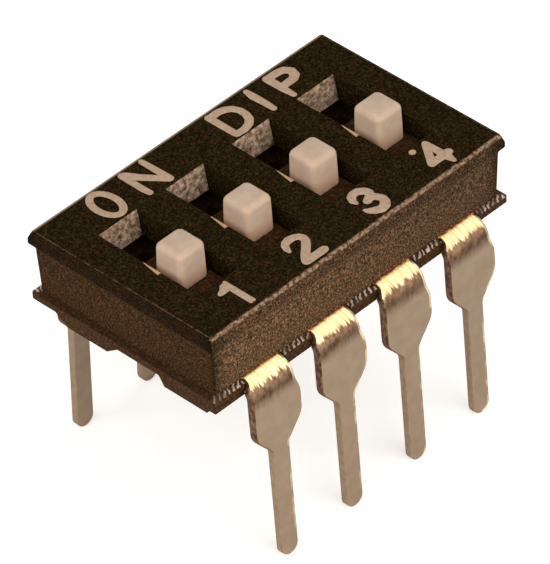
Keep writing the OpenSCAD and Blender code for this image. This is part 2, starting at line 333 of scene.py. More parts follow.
def wear_and_glow_sliver(s, place):
    """1 on the top face in a sliver on the -X side of each slot, widest at its -Y end: partly wear,
    partly painted light from the knob.
    """
    from_first = s.maths("SUBTRACT", (place, "X"), slider_x(1) - SLOT_W / 2 - PITCH / 2)
    in_cell = s.maths("FLOORED_MODULO", (from_first, "Value"), PITCH)
    reach = s.levels(place, "Y", SLIVER_Y + SLIVER_HALF, SLIVER_Y - SLIVER_HALF, *SLIVER_WIDTHS)
    beside = s.maths("LESS_THAN", s.distance((in_cell, "Value"), PITCH / 2), (reach, "Result"))
    along = s.maths("LESS_THAN", s.distance((place, "Y"), SLIVER_Y), SLIVER_HALF)
    at_slots = s.maths("LESS_THAN", (place, "X"), slider_x(POSITIONS[-1]))
    pale_patches = s.maths("MULTIPLY", (beside, "Value"), (along, "Value"))
    return s.maths("MULTIPLY", (pale_patches, "Value"), (at_slots, "Value")), "Value"


def band(s, value, edge, inset_and_fade, strength):
    """Share that rises to strength within the inset from an edge."""
    inset_from, fade = inset_and_fade
    start = edge - inset_from
    return s.levels(*value, start, start + fade, 0.0, strength), "Result"


def top_material():
    """Top face of the cover: near black, with a fine grain.

    It has painted highlights along its outline, most on the +Y side where a painted reflection line
    runs, and a pale sliver beside the slots, partly wear and partly painted light from the knob.
    """
    s = moulded_plastic("cover_top", rgb(18, 13, 5), rgb(62, 49, 29), 0.06, 0.004, 0.9, 0.0,
                        ((0.82, 1.02, 0.76), (1.26, 0.98, 1.12)))
    place = s.place()
    # Painted highlights where the outline's edges catch the light, and a painted reflection line
    # along the +Y edge
    sides = band(s, s.distance((place, "Y"), 0.0), COVER_HIGH.y, SIDE_HIGHLIGHT, 0.8)
    ends = band(s, s.distance((place, "X"), 0.0), COVER_HIGH.x, END_HIGHLIGHT, 0.35)
    share = (s.maths("MAXIMUM", sides, ends), "Value")
    tone = (s.mix(share, s.colour_so_far(), (edge_highlight(s), "Color")), "Result")
    far = band(s, (place, "Y"), COVER_HIGH.y, FAR_HIGHLIGHT, 0.85)
    tone = (s.mix(far, tone, rgb(150, 130, 112)), "Result")
    # Pale sliver beside each slot: partly wear, partly painted light bounced from the knob
    s.colour(s.mix(wear_and_glow_sliver(s, place), tone, rgb(196, 156, 124)), "Result")
    return s.material


def lit_long_wall_material():
    """Wall beside the leads, lighter than the short wall as painted light, with a painted highlight
    band under its top edge.
    """
    s = wall_material("cover_long_wall", rgb(44, 26, 13), rgb(152, 119, 90), LONG_WALL_PAINTED_SHADE)
    # Painted highlight under the top edge
    share = band(s, (s.place(), "Z"), TOP_Z, (WALL_HIGHLIGHT_H, WALL_HIGHLIGHT_FADE), 0.9)
    s.colour(s.mix(share, s.colour_so_far(), (edge_highlight(s), "Color")), "Result")
    return s.material


def edge_highlight_material():
    """Painted highlight on the top edge of the cover."""
    s = Shader("cover_edge_highlight", Roughness=0.6, Specular_IOR_Level=0.15)
    s.colour(edge_highlight(s))
    return s.material


def slot_rim_material():
    """Rim of a slot: as the top face, but pale beside the knob's OFF place, partly wear and partly
    painted light bounced from the knob.
    """
    s = Shader("slot_rim", Roughness=0.7, Specular_IOR_Level=0.1)
    from_sliver = s.distance((s.place(), "Y"), SLIVER_Y)
    pale_patches = s.levels(*from_sliver, SLIVER_HALF, SLIVER_HALF + SLIVER_FADE, 1.0, 0.0)
    speck = s.noise(0.12, detail=2)
    pale = s.ramp(speck, "Fac", [(0.35, rgb(176, 138, 106)), (0.6, rgb(224, 188, 158))])
    s.colour(s.mix((pale_patches, "Result"), rgb(36, 27, 14), (pale, "Color")), "Result")
    s.bump(speck, "Fac", 0.004)
    return s.material


def slot_end_material():
    """Speckled pale paint on the ON end of each slot."""
    s = Shader("slot_end_paint", Roughness=0.7, Specular_IOR_Level=0.15)
    speck = s.noise(0.14, detail=3, rough=0.7)
    s.colour(s.ramp(speck, "Fac", [(0.34, rgb(88, 62, 42)), (0.5, rgb(158, 130, 106)),
                                   (0.64, rgb(214, 186, 164))]))
    s.bump(speck, "Fac", 0.02)
    return s.material


def base_material():
    """Base: dark brown, with less contrast than the walls."""
    return moulded_plastic("base_plastic", rgb(44, 27, 12), rgb(88, 60, 36),
                           0.08, 0.012, 0.75, 0.1).material


def flange_highlight_material():
    """Top of the base's flange along the leads: slanted moulding ticks, pale as painted highlights,
    that come and go.
    """
    s = Shader("base_flange_highlight", Roughness=0.6, Specular_IOR_Level=0.2)
    ticks = s.add("ShaderNodeTexWave", wave_type="BANDS", bands_direction="X")
    ticks.inputs["Scale"].default_value = 2.2
    ticks.inputs["Distortion"].default_value = 6.0
    ticks.inputs["Detail"].default_value = 2
    ticks.inputs["Detail Scale"].default_value = 2.0
    slanted = s.coordinates(rotation=(0, 0, math.radians(TICK_TURN)))
    s.link(slanted, "Vector", ticks, "Vector")
    # Painted highlights on the ticks' ridges
    lit_ticks = s.ramp(ticks, "Fac", [(0.45, rgb(58, 37, 23)), (0.8, rgb(222, 196, 178))])
    patchy = s.levels(s.noise(0.5, detail=2), "Fac", 0.4, 0.62, 0.75, 0.0)
    s.colour(s.mix((patchy, "Result"), (lit_ticks, "Color"), rgb(78, 54, 38)), "Result")
    s.bump(ticks, "Fac", TICK_BUMP)
    return s.material


def knob_material():
    """Warm white actuator plastic, translucent, with a painted warm glow of bounced light towards
    its foot.
    """
    s = Shader("actuator_plastic", Roughness=0.55, Specular_IOR_Level=0.2,
               Subsurface_Weight=0.6, Subsurface_Scale=0.5 * MM)
    s.bsdf.inputs["Subsurface Radius"].default_value = (1.0, 0.6, 0.4)
    # Painted glow of bounced light, paler and redder towards the foot
    foot = s.levels(s.place(), "Z", *(TOP_Z + z for z in FOOT_GLOW), 1.0, 0.0)
    cloud = s.noise(0.3, detail=2)
    tone = s.ramp(cloud, "Fac", [(0.3, rgb(186, 163, 143)), (0.7, rgb(197, 175, 155))])
    s.colour(s.mix((foot, "Result"), (tone, "Color"), rgb(222, 176, 146)), "Result")
    s.bump(s.noise(0.06, detail=3), "Fac", 0.003)
    return s.material


def carriage_material():
    """Dark brown carriage with a slightly mottled surface."""
    return moulded_plastic("carriage_plastic", rgb(38, 22, 9), rgb(84, 56, 30),
                           0.09, 0.01, 0.7, 0.05).material


def marking_material():
    """Pale filled marking with a slightly uneven surface."""
    s = Shader("marking_paint", Roughness=0.65, Specular_IOR_Level=0.15)
    cloud = s.noise(0.12, detail=3)
    s.colour(s.ramp(cloud, "Fac", [(0.3, rgb(166, 139, 115)), (0.7, rgb(188, 162, 139))]))
    s.bump(cloud, "Fac", 0.004)
    return s.material


def lead_material():
    """Tin-plated lead: a painted highlight over the bend, a painted dark reflection band below it,
    then plain satin.

    A painted orange glow marks where the lead enters the base.
    """
    s = Shader("tinned_lead", Metallic=1.0, Roughness=0.36)
    place = s.place()
    streaks = s.noise(0.07, detail=2, rough=0.6, scale=(1, 0.1, 0.1))
    wander = s.levels(streaks, "Fac", 0.3, 0.7, -BAND_WANDER, BAND_WANDER)
    height = (s.maths("ADD", (place, "Z"), (wander, "Result")), "Value")
    # Painted dark reflection band, mottled, and painted highlight over the bend, by height
    dark_band = s.levels(*height, *(BEND_Z + z for z in DARK_REFLECTION_BAND))
    highlight = s.levels(*height, *(BEND_Z + z for z in HIGHLIGHT_BAND))
    cloud = s.noise(0.4, detail=3)
    plain = s.ramp(cloud, "Fac", [(0.3, rgb(174, 150, 127)), (0.7, rgb(185, 162, 139))])
    mottles = s.noise(0.16, detail=3, rough=0.7, scale=(1, 0.6, 0.6))
    dark_reflection = s.ramp(mottles, "Fac", [(0.38, rgb(98, 72, 53)), (0.6, rgb(132, 106, 84))])
    below = s.mix((dark_band, "Result"), (plain, "Color"), (dark_reflection, "Color"))
    highlight_tint = s.ramp(streaks, "Fac", [(0.3, rgb(190, 154, 94)), (0.6, rgb(238, 220, 168))])
    away = s.distance((place, "Y"), 0.0)
    # Painted orange glow at the highlight's edge by the base
    fringe = s.levels(*away, *(BASE_HIGH.y - y for y in GLOW_LINE), 1.0, 0.0)
    orange_glow = s.ramp(mottles, "Fac", [(0.4, rgb(84, 34, 16)), (0.62, rgb(214, 128, 58))])
    shine = s.mix((fringe, "Result"), (highlight_tint, "Color"), (orange_glow, "Color"))
    s.colour(s.mix((highlight, "Result"), (below, "Result"), (shine, "Result")), "Result")
    # The lean tilts the painted highlight's normals towards the sky
    s.lean_normal(place, (highlight, "Result"), HIGHLIGHT_LEAN)
    s.bump(streaks, "Fac", 0.004)
    s.bump(s.noise(0.15, detail=3), "Fac", 0.003)
    return s.material


def lead_corner_highlight_material():
    """Front corner on the +X edge of a lead, with painted highlights in places."""
    s = Shader("lead_corner_highlight", Metallic=1.0, Roughness=0.4)
    pale_patches = s.noise(0.45, detail=3, rough=0.6, scale=(1, 1, 0.6))
    s.colour(s.ramp(pale_patches, "Fac", [(0.45, rgb(176, 152, 130)), (0.62, rgb(250, 232, 196))]))
    s.bump(pale_patches, "Fac", 0.003)
    return s.material


def lead_edge_material():
    """Sheared edge of a lead: torn dark base metal on the blade, smoother and paler on the leg."""
    s = Shader("lead_cut_edge", Metallic=0.5, Roughness=0.5)
    tears = s.noise(0.12, detail=3, rough=0.7, scale=(1, 1, 0.6))
    torn = s.ramp(tears, "Fac", [(0.42, rgb(74, 42, 26)), (0.64, rgb(146, 108, 78))])
    smooth = s.ramp(tears, "Fac", [(0.3, rgb(146, 120, 96)), (0.7, rgb(172, 148, 124))])
    blade = s.levels(s.place(), "Z", *(LEG_LEN + z for z in TORN_EDGE))
    s.colour(s.mix((blade, "Result"), (smooth, "Color"), (torn, "Color")), "Result")
    s.bump(tears, "Fac", 0.015)
    return s.material


def spring_material():
    """Gold-plated contact spring with faint rolling lines."""
    s = Shader("contact_metal", Metallic=1.0, Roughness=0.3)
    lines = s.noise(0.06, detail=2, scale=(1, 0.1, 1))
    s.colour(s.ramp(lines, "Fac", [(0.3, rgb(196, 152, 84)), (0.7, rgb(222, 182, 112))]))
    s.bump(lines, "Fac", 0.002)
    return s.material


# ---------------------------------------------------------------- mesh helpers

CREASE_ANGLE = 42
# Points nearer than this are one, and faces that turn less than this are one
SAME_POINT, FLAT_ANGLE = 0.002, 0.5
# Rounding of the edges of pieces that come from the CAD model's own surface
COVER_SOFT, BASE_SOFT, CARRIAGE_SOFT, SPRING_SOFT = 0.035, 0.03, 0.03, 0.01


def new_piece(name, bm, materials, body, nodes=()):
    """Object from a bmesh: shaded smooth up to a crease angle, riding on its body."""
    bmesh.ops.recalc_face_normals(bm, faces=bm.faces)
    mesh = bpy.data.meshes.new(name)
    bm.to_mesh(mesh)
    bm.free()
    for material in materials:
        mesh.materials.append(material)
    mesh.shade_smooth()
    mesh.set_sharp_from_angle(angle=math.radians(CREASE_ANGLE))
    piece = bpy.data.objects.new(name, mesh)
    bpy.context.scene.collection.objects.link(piece)
    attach(piece, body)
    if nodes:
        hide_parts(*nodes)
    return piece


def weighted(piece):
    """Keeps wide flat faces flat beside their bevels."""
    modifier = piece.modifiers.new("weighted_normals", "WEIGHTED_NORMAL")
    modifier.keep_sharp = True
    return piece


def clean_copy(node):
    """The CAD node's surface with its flat faces whole again, in metres."""
    bm = bmesh.new()
    bm.from_mesh(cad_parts[node].data)
    bmesh.ops.remove_doubles(bm, verts=bm.verts, dist=SAME_POINT * MM)
    flat = math.radians(FLAT_ANGLE)
    bmesh.ops.dissolve_limit(bm, angle_limit=flat, verts=bm.verts, edges=bm.edges)
    return bm


def soften(bm, width, angle, segments=3):
    """Rounds the edges that turn by more than angle degrees."""
    edges = [e for e in bm.edges
             if len(e.link_faces) == 2 and e.calc_face_angle(0) > math.radians(angle)]
    bmesh.ops.bevel(bm, geom=edges, offset=width * MM, offset_type="OFFSET", segments=segments,
                    profile=0.5, affect="EDGES", clamp_overlap=True)


def arc(x, y, r, start, end, steps=8):
    """Points of an arc about (x, y), angles in degrees."""
    turns = [math.radians(start + (end - start) * k / steps) for k in range(steps + 1)]
    return [(x + r * math.cos(t), y + r * math.sin(t)) for t in turns]


# ---------------------------------------------------------------- cover and base


def face_place(face):
    """Middle of a face, in millimetres."""
    return face.calc_center_median() / MM


# Materials of the cover, in the order of its material list
LONG_WALLS, SHORT_WALLS, TOP, EDGE, PAINT, RIM = range(6)
# Slack for telling a face by its place, and how far down the top face's rim and edge reach
SLACK, FLUSH, RIM_H, EDGE_H = 0.02, 0.004, 0.05, 0.08
# Length of the slot that its leaning ON end takes up
ON_END = 0.35
# Painted shade on the walls: darker on the lip above its lower edge, towards +X, and near the
# upright corners
LIP_PAINTED_SHADE = "Z", TOP_Z - LIP_H - 0.02, TOP_Z - LIP_H + 0.02
LONG_WALL_PAINTED_SHADE = [("X", COVER_LOW.x, COVER_HIGH.x, 0.6), (*LIP_PAINTED_SHADE, 0.66),
                    ("-X", COVER_HIGH.x - 0.75, COVER_HIGH.x - 0.2, 0.45)]
SHORT_WALL_PAINTED_SHADE = [(*LIP_PAINTED_SHADE, 0.36), ("-Y", COVER_HIGH.y - 0.35, COVER_HIGH.y - 0.18, 0.6)]


def cover_part(face):
    """Material index of a face of the cover, told by its place and normal."""
    middle, normal = face_place(face), face.normal
    beside_slider = any(abs(middle.x - slider_x(i)) < SLOT_W / 2 + SLACK for i in POSITIONS)
    in_slot = beside_slider and abs(middle.y) < SLOT_L / 2 + SLACK
    if middle.z > TOP_Z - FLUSH and normal.z > 0.98:
        return TOP
    if in_slot and middle.z > TOP_Z - RIM_H and normal.x > 0.2:
        return RIM
    if in_slot:
        at_on_end = middle.y > SLOT_L / 2 - ON_END and normal.y < -0.75
        return PAINT if at_on_end and middle.z > TOP_Z - TOP_T else TOP
    # Faces just under the top that lean sideways take the painted edge highlight
    if middle.z > TOP_Z - EDGE_H and abs(normal.y) > 0.25:
        return EDGE
    return LONG_WALLS if abs(normal.y) > abs(normal.x) else SHORT_WALLS


def make_cover():
    """Slotted cover with softened edges, a painted highlight on its top edge, painted shade on its
    walls and painted slot ends.
    """
    bm = clean_copy("cover")
    soften(bm, COVER_SOFT, angle=20)
    bm.normal_update()
    for face in bm.faces:
        face.material_index = cover_part(face)
    # The same plastic as the long wall, in darker colours as painted shade
    shaded_short_wall = wall_material("cover_short_wall", rgb(33, 19, 8), rgb(92, 66, 42),
                               SHORT_WALL_PAINTED_SHADE)
    materials = [lit_long_wall_material(), shaded_short_wall.material, top_material(), edge_highlight_material(),
                 slot_end_material(), slot_rim_material()]
    return weighted(new_piece("cover_shell", bm, materials, HOUSING, ["cover"]))


# Lower edge of the flange: how far it hangs and is sunk into the base, its depth and bevel,
# its clearance of the leads, and its inset from the base's end
LIP_DROP, LIP_ROOT, LIP_DEPTH, LIP_BEVEL = 0.155, 0.05, 0.45, 0.03
LIP_GAP, LIP_INSET = 0.05, 0.012
# Top of the flange: how far in it lies and how near the seam
TICKED_W, TICKED_H = 0.3, 0.08


def add_flange_edges(bm):
    """Lower edge of the flange between the leads' notches, on both long sides.

    The far end of each row has none, and one side is the other turned half round.
    """
    notch = STRAP_W / 2 + LIP_GAP
    outline = [(0, LIP_ROOT), (0, LIP_BEVEL - LIP_DROP), (-LIP_BEVEL, -LIP_DROP),
               (LIP_BEVEL - LIP_DEPTH, -LIP_DROP), (-LIP_DEPTH, LIP_ROOT)]
    spans = [(BASE_LOW.x + LIP_INSET, slider_x(1) - notch - LIP_BEVEL)]
    spans += [(slider_x(i) + notch + LIP_BEVEL, slider_x(i + 1) - notch - LIP_BEVEL)
              for i in POSITIONS[:-1]]
    for span in spans:
        for side in (-1, 1):
            near, far = [[bm.verts.new(Vector((-side * x, side * (BASE_HIGH.y + y),
                                               RIM_BOTTOM + z)) * MM)
                          for y, z in outline] for x in span]
            for k in range(len(outline)):
                bm.faces.new((near[k - 1], near[k], far[k], far[k - 1]))
            bm.faces.new(near)
            bm.faces.new(list(reversed(far)))


def make_base():
    """Base with softened edges and a ticked flange top along the leads, its ticks painted as
    highlights.
    """
    bm = clean_copy("base")
    soften(bm, BASE_SOFT, angle=25)
    add_flange_edges(bm)
    bm.normal_update()
    for face in bm.faces:
        middle, normal = face_place(face), face.normal
        outside = abs(middle.y) > BASE_HIGH.y - TICKED_W and abs(middle.z - SEAM_Z) < TICKED_H
        face.material_index = 1 if outside and normal.z > 0.9 else 0
    materials = [base_material(), flange_highlight_material()]
    return weighted(new_piece("base_plate", bm, materials, HOUSING, ["base"]))


# ---------------------------------------------------------------- sliders and springs

# Rounding of a knob's top edge and upright corners, and the corners' share left at the top
KNOB_EDGE, KNOB_CORNER, TOP_CORNER = 0.19, 0.18, 0.45
TENON_CORNER = 0.02
TOP_EDGE_TURN = 84


def rounded_square(half, radius, steps=8):
    """Corners of a square with round corners, anticlockwise."""
    inner = half - radius
    return [point for quarter, (x, y) in enumerate(((1, 1), (-1, 1), (-1, -1), (1, -1)))
            for point in arc(x * inner, y * inner, radius, 90 * quarter, 90 * quarter + 90, steps)]


def knob_mesh(middle_x, low, high):
    """Knob with soft edges on its tenon, between the CAD piece's lowest and highest corners."""
    half, middle_y = KNOB_W / 2, (low.y + high.y) / 2
    ledge_z, foot = low.z + TENON_H, KNOB_W / 2 + KNOB_DRAFT
    levels = [(low.z, TENON_W / 2, TENON_CORNER), (ledge_z, TENON_W / 2, TENON_CORNER),
              (ledge_z, foot, KNOB_CORNER)]
    for x, z in arc(0, 0, KNOB_EDGE, 0, TOP_EDGE_TURN):
        corner = KNOB_CORNER * (TOP_CORNER + (1 - TOP_CORNER) * x / KNOB_EDGE)
        levels.append((high.z - KNOB_EDGE + z, half - KNOB_EDGE + x, corner))
    bm = bmesh.new()
    rings = [[bm.verts.new(Vector((middle_x + x, middle_y + y, z)) * MM)
              for x, y in rounded_square(half_size, radius)] for z, half_size, radius in levels]
    for a, b in zip(rings, rings[1:]):
        for k in range(len(a)):
            bm.faces.new((a[k - 1], a[k], b[k], b[k - 1]))
    bm.faces.new(list(reversed(rings[0])))
    bm.faces.new(rings[-1])
    return bm


def make_sliders():
    """White knobs, and the dark carriages that hold them."""
    knob, carriage = knob_material(), carriage_material()
    for i in POSITIONS:
        bm = knob_mesh(slider_x(i), *box_mm(f"slider_{i}"))
        weighted(new_piece(f"actuator_knob_{i}", bm, [knob], f"actuator_{i}",
                           [f"slider_{i}"]))
        bm = clean_copy(f"carriage_{i}")
        soften(bm, CARRIAGE_SOFT, angle=50)
        weighted(new_piece(f"actuator_carriage_{i}", bm, [carriage], f"actuator_{i}",
                           [f"carriage_{i}"]))


def make_springs():
    """Contact springs with rolled edges."""
    material = spring_material()
    for i in POSITIONS:
        bm = clean_copy(f"contact_spring_{i}")
        soften(bm, SPRING_SOFT, angle=50, segments=2)
        new_piece(f"contact_strip_{i}", bm, [material], f"actuator_{i}",
                  [f"contact_spring_{i}"])


# ---------------------------------------------------------------- leads

# Rounding of a lead's edges, and steps along its edge, bend and blade
LEAD_EDGE = 0.035
EDGE_STEPS, BEND_STEPS, BLADE_STEPS = 4, 16, 7
# From the step between pad and strap to the bend, and the length of that step
ANCHOR_TO_BEND, ANCHOR_STEP = 0.9, 0.08
# The first points of an outline, which belong to the pad
PAD_POINTS = 4
# Height above the shoulders' level at which the shoulders' arc takes over from the blade
OVER_SHOULDER = 0.3
# How much lower the shoulder on the -X edge hangs
SHOULDER_SINK = 0.06
# Width of the painted highlight band on the +X edge
EDGE_HIGHLIGHT_W = 0.085
# Least cosine of a corner's half turn that an inset allows for
MITRE_LIMIT = 0.5
# Materials of a lead, in the order of its material list
PLATED, CUT, CORNER = range(3)


def shoulder_level(width):
    """Height of the shoulder arc's centre on a blade of the given width."""
    turn = math.radians(SHOULDER_TURN)
    neck_x = LEG_W / 2 + NECK_R * (1 - math.cos(turn))
    shoulder_x = width / 2 - SHOULDER_R * (1 - math.cos(turn))
    return LEG_LEN + (NECK_R + SHOULDER_R) * math.sin(turn) + (shoulder_x - neck_x) / math.tan(turn)


# Lengths along the leaning blade from its tip, and the centre of the bend above it
LEAN = math.radians(SPLAY)
MID_R = BEND_R - LEAD_T / 2
BEND_LENGTH = MID_R * (math.pi / 2 - LEAN)
BLADE_TOP = shoulder_level(SHOULDER_W) + DROP_H
BEND_TOP = BLADE_TOP + MID_R
NECK_Z = LEAD_T / 2 * math.sin(LEAN) + LEG_LEN * math.cos(LEAN)
BEND_Y = ROW_SPACING / 2 - (BLADE_TOP - LEG_LEN) * math.sin(LEAN) - MID_R * math.cos(LEAN)
BEND_Z = NECK_Z + (BLADE_TOP - LEG_LEN) * math.cos(LEAN) - MID_R * math.sin(LEAN)

# Heights between which the -X edge and the +X edge narrow to the strap
EARLY_TAPER = BLADE_TOP + 0.26, BEND_TOP
LATE_TAPER = BLADE_TOP - 0.6, BLADE_TOP + 0.1


def half_width(width, height, taper):
    """Half width above the shoulders: it narrows softly from the blade to the strap."""
    low, high = taper
    t = min(max((height - low) / (high - low), 0), 1)
    return width / 2 + (STRAP_W - width) / 2 * t * t * (3 - 2 * t)


def lead_outline(pad_to_bend, width, taper, sink):
    """Half of the flat lead as (half width, length from the pad's end), from pad to tip.

    The taper is between two heights, and the shoulder hangs lower by sink.
    """
    anchor = pad_to_bend - ANCHOR_TO_BEND
    outline = [(0, 0), (PAD_W / 2, 0), (PAD_W / 2, anchor), (STRAP_W / 2, anchor + ANCHOR_STEP)]
    for k in range(BEND_STEPS + 1):
        left_to_turn = (math.pi / 2 - LEAN) * (1 - k / BEND_STEPS)
        height = BLADE_TOP + MID_R * math.sin(left_to_turn)
        length = pad_to_bend + BEND_LENGTH * k / BEND_STEPS
        outline.append((half_width(width, height, taper), length))
    low = shoulder_level(SHOULDER_W) + OVER_SHOULDER
    blade = [BLADE_TOP + (low - BLADE_TOP) * k / BLADE_STEPS for k in range(1, BLADE_STEPS + 1)]
    upright = [(half_width(width, height, taper), height) for height in blade]
    shoulder_z = shoulder_level(width) - sink
    upright += arc(width / 2 - SHOULDER_R, shoulder_z, SHOULDER_R, 0, -SHOULDER_TURN)
    upright += arc(LEG_W / 2 + NECK_R, LEG_LEN - sink, NECK_R, 180 - SHOULDER_TURN, 180, 5)
    upright += arc(0, LEG_W / 2, LEG_W / 2, 0, -90, 10)
    drop = pad_to_bend + BEND_LENGTH + BLADE_TOP
    return outline + [(x, drop - height) for x, height in upright]


def inset(points, distance):
    """The half outline moved inwards, with its two ends kept on the middle line."""
    moved = []
    for k, point in enumerate(points):
        before = points[k - 1] if k else (-points[1][0], points[1][1])
        after = points[k + 1] if k < len(points) - 1 else (-points[k - 1][0], points[k - 1][1])
        u = Vector((point[0] - before[0], point[1] - before[1])).normalized()
        v = Vector((after[0] - point[0], after[1] - point[1])).normalized()
        along = (u + v).normalized()
        inward = Vector((-along.y, along.x))
        stretch = 1 / max(MITRE_LIMIT, along.dot(u))
        x, s = Vector(point) + inward * distance * stretch
        moved.append((max(x, 0) if 0 < k < len(points) - 1 else 0, s))
    return moved


def make_lead(name, node, side, pad_end, width, materials):
    """One formed lead: its flat outline, with rounded edges, carried round the bend."""
    low, high = box_mm(node)
    middle_x = (low.x + high.x) / 2
    pad_to_bend = pad_end + BEND_Y
    early = lead_outline(pad_to_bend, width, EARLY_TAPER, SHOULDER_SINK)
    late = lead_outline(pad_to_bend, width, LATE_TAPER, 0)

    def carried(x, s, n):
        """Point of the sheet: x across, s along, n outwards from its middle."""
        turned = min(max(s - pad_to_bend, 0), BEND_LENGTH)
        t = turned / MID_R
        level, straight = min(s, pad_to_bend), max(s - pad_to_bend - BEND_LENGTH, 0)
        y = pad_end - level - (MID_R + n) * math.sin(t) - straight * math.sin(LEAN)
        z = BEND_Z + (MID_R + n) * math.cos(t) - straight * math.cos(LEAN)
        return Vector((middle_x + x, -side * y, z)) * MM

    bm = bmesh.new()
    levels = [(EDGE_HIGHLIGHT_W, LEAD_T / 2)]
    for k in range(EDGE_STEPS + 1):
        t = math.pi / 2 * k / EDGE_STEPS
        levels.append((LEAD_EDGE * (1 - math.sin(t)), LEAD_T / 2 - LEAD_EDGE * (1 - math.cos(t))))
    levels += [(depth, -n) for depth, n in reversed(levels[1:])]
    rings = []
    for depth, n in levels:
        right = [bm.verts.new(carried(x, s, n)) for x, s in inset(late, depth)]
        left = [bm.verts.new(carried(-x, s, n)) for x, s in inset(early, depth)[1:-1]]
        rings.append((right, [right[0]] + left + [right[-1]]))
    for (right, left) in (rings[0], rings[-1]):
        for k in range(len(right) - 1):
            corners = [right[k], right[k + 1], left[k + 1], left[k]]
            bm.faces.new(list(dict.fromkeys(corners)))
    for level, ((right_a, left_a), (right_b, left_b)) in enumerate(zip(rings, rings[1:])):
        sheared = EDGE_STEPS <= level <= EDGE_STEPS + 2
        # The +X edge's corner band takes the painted highlight
        right_kind = CORNER if level <= EDGE_STEPS else PLATED
        left_kind = CUT if 0 < level <= EDGE_STEPS else PLATED
        for a, b, kind in ((right_a, right_b, right_kind), (left_b, left_a, left_kind)):
            for k in range(len(a) - 1):
                face = bm.faces.new((a[k], a[k + 1], b[k + 1], b[k]))
                face.material_index = CUT if sheared else kind if k >= PAD_POINTS else PLATED
    new_piece(name, bm, materials, HOUSING, [node])


def make_leads():
    """Both rows; each pad's end comes from its CAD node."""
    materials = [lead_material(), lead_edge_material(), lead_corner_highlight_material()]
    for i in POSITIONS:
        off, on = f"terminal_off_{i}", f"terminal_on_{i}"
        make_lead(f"lead_off_{i}", off, -1, box_mm(off)[1].y, SHOULDER_W, materials)
        make_lead(f"lead_on_{i}", on, 1, -box_mm(on)[0].y, SHOULDER_W_ON, materials)


# ---------------------------------------------------------------- marking

# Height of a stroke, and how much more each next one has where they cross
STROKE_H, STROKE_RISE = 0.016, 0.0004
# Cross-section of a stroke, as shares of its half width and its height
STROKE_PROFILE = [(-1, -0.5), (-1, 0.35), (-0.95, 0.7), (-0.84, 0.92), (-0.6, 1), (0.6, 1),
                  (0.84, 0.92), (0.95, 0.7), (1, 0.35), (1, -0.5)]
# Stations of a round end, in degrees
CAP_TURNS = 15, 30, 45, 60, 72, 82


def ring_path(x, y, rx, ry, start, end, width, steps=24):
    """Stations of an elliptical stroke, angles in degrees."""
    return [(x + rx * u, y + ry * v, width) for u, v in arc(0, 0, 1, start, end, steps)]


# Each stroke is a path of (x, y, width) on the top face
MARKS = {
    "marking_on": [
        ring_path(-3.5, 2.61, 0.34, 0.56, 90, 450, 0.22),
        [(-2.38, 2.08, 0.2), (-2.4, 2.3, 0.22), (-2.39, 3.14, 0.22)],
        [(-2.33, 3.08, 0.3), (-2.1, 2.72, 0.27), (-1.62, 2.1, 0.24)],
        [(-1.6, 2.1, 0.24), (-1.6, 2.5, 0.23), (-1.61, 3.16, 0.19)],
    ],
    "marking_dip": [
        [(0.92, 2.06, 0.23), (0.92, 3.1, 0.25)],
        [(0.93, 3.08, 0.26), (1.25, 3.09, 0.27), (1.45, 3.03, 0.27), (1.62, 2.9, 0.25),
         (1.71, 2.7, 0.24), (1.7, 2.45, 0.24), (1.62, 2.25, 0.25), (1.45, 2.1, 0.25),
         (1.2, 2.03, 0.25), (0.93, 2.05, 0.24)],
        [(2.38, 2.06, 0.19), (2.39, 2.4, 0.23), (2.38, 2.85, 0.26), (2.4, 3.12, 0.18)],
        [(3.17, 2.06, 0.18), (3.16, 2.4, 0.24), (3.17, 2.75, 0.27), (3.17, 3.07, 0.28)],
        [(3.17, 3.08, 0.26), (3.55, 3.07, 0.28), (3.75, 3.02, 0.28), (3.87, 2.85, 0.28),
         (3.82, 2.65, 0.28), (3.65, 2.55, 0.28), (3.2, 2.54, 0.26)],
    ],
    "marking_digits": [
        [(-3.81, -2.08, 0.12), (-3.815, -3.1, 0.11)],
        [(-3.72, -2.04, 0.12), (-3.715, -3.1, 0.11)],
        [(-4.13, -2.28, 0.16), (-3.95, -2.24, 0.26), (-3.84, -2.19, 0.34)],
        [(-1.69, -2.46, 0.1), (-1.67, -2.34, 0.19), (-1.6, -2.2, 0.22), (-1.5, -2.13, 0.25),
         (-1.35, -2.1, 0.27), (-1.2, -2.13, 0.25), (-1.08, -2.2, 0.24), (-1.03, -2.33, 0.24),
         (-1.08, -2.46, 0.25), (-1.2, -2.59, 0.26), (-1.37, -2.74, 0.26), (-1.52, -2.88, 0.27),
         (-1.65, -3.04, 0.28)],
        [(-1.67, -3.07, 0.27), (-1.02, -3.07, 0.27)],
        [(0.93, -2.41, 0.12), (0.92, -2.3, 0.21), (1.0, -2.15, 0.25), (1.15, -2.08, 0.26),
         (1.3, -2.1, 0.28), (1.44, -2.22, 0.28), (1.48, -2.35, 0.26), (1.4, -2.48, 0.28),
         (1.19, -2.57, 0.25)],
        [(1.3, -2.52, 0.24), (1.47, -2.6, 0.26), (1.55, -2.78, 0.26), (1.5, -2.93, 0.28),
         (1.37, -3.05, 0.3), (1.2, -3.08, 0.3), (1.02, -2.98, 0.28), (0.9, -2.86, 0.2),
         (0.86, -2.78, 0.1)],
        [(3.96, -2.09, 0.2), (3.47, -2.81, 0.26)],
        [(3.97, -2.09, 0.2), (3.97, -2.5, 0.25), (3.97, -2.95, 0.27), (3.97, -3.15, 0.14)],
        [(3.47, -2.81, 0.24), (3.8, -2.8, 0.27), (4.13, -2.79, 0.26)],
        [(3.465, -2.08, 0.2), (3.475, -2.08, 0.2)],
    ],
}


